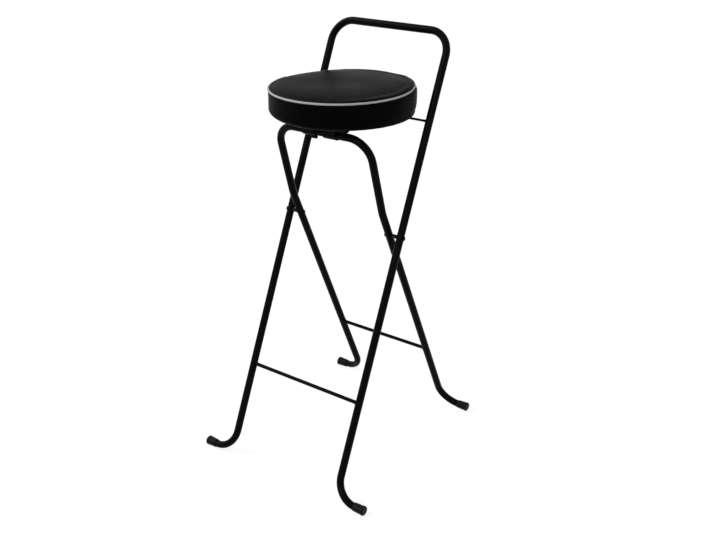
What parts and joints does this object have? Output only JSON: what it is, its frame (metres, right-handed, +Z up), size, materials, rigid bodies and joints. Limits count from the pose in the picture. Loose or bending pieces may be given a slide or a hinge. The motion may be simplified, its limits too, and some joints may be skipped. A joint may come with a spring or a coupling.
{
  "type": "folding bar stool",
  "caption": "Folding bar stool: crossed bent tube frames, a handle bar behind, and a round padded seat hinged on the inner frame.",
  "frame": {"origin": "on the floor, at the centre of the stool's footprint, under the middle of the seat's width", "axes": "+X to the sitter's right as they face forward from the handle, +Y towards the handle side, +Z up"},
  "size_m": [0.4366, 0.472, 0.9],
  "materials": {
    "frame_paint": "gloss black powder coat",
    "bracket_paint": "satin black paint",
    "fastener_zinc": "zinc plated",
    "cap_rubber": "moulded matt",
    "spacer_nylon": "moulded matt",
    "board_plywood": "raw plywood",
    "cushion_foam": "open cell foam",
    "seat_vinyl": "grained satin vinyl",
    "piping_vinyl": "smooth vinyl"
  },
  "bodies": {
    "outer": {"outer_frame": "frame_paint", "foot_rail": "frame_paint", "seat_rest_rod": "frame_paint", "outer_foot_cap_left": "cap_rubber", "outer_foot_cap_right": "cap_rubber", "pivot_pin_left": "frame_paint", "pivot_pin_right": "frame_paint", "pivot_spacer_left": "spacer_nylon", "pivot_spacer_right": "spacer_nylon"},
    "inner": {"inner_frame": "frame_paint", "rear_brace": "frame_paint", "inner_foot_cap_left": "cap_rubber", "inner_foot_cap_right": "cap_rubber"},
    "seat": {"hinge_bracket": "bracket_paint", "hinge_saddle_left": "bracket_paint", "hinge_saddle_right": "bracket_paint", "saddle_rivet_left_front": "fastener_zinc", "saddle_rivet_left_rear": "fastener_zinc", "saddle_rivet_right_front": "fastener_zinc", "saddle_rivet_right_rear": "fastener_zinc", "bracket_screw_left_front": "fastener_zinc", "bracket_screw_left_rear": "fastener_zinc", "bracket_screw_right_front": "fastener_zinc", "bracket_screw_right_rear": "fastener_zinc", "rear_hook_left": "bracket_paint", "rear_hook_right": "bracket_paint", "hook_screw_left_front": "fastener_zinc", "hook_screw_left_rear": "fastener_zinc", "hook_screw_right_front": "fastener_zinc", "hook_screw_right_rear": "fastener_zinc", "seat_board": "board_plywood", "seat_foam": "cushion_foam", "seat_side_band": "seat_vinyl", "seat_top_panel": "seat_vinyl", "seat_piping": "piping_vinyl"}
  },
  "joints": [
    {"name": "frame_fold", "type": "hinge", "parent": "outer", "child": "inner", "pos_m": [0, 0.00952, 0.5103], "axis": [-1, 0, 0], "range_deg": [0, 44]},
    {"name": "seat_tilt", "type": "hinge", "parent": "inner", "child": "seat", "pos_m": [0, -0.05521, 0.7241], "axis": [1, 0, 0], "range_deg": [0, 120]}
  ],
  "couplings": [
    {"joint": "seat_tilt", "follows": "frame_fold", "ratio": 2.727}
  ]
}
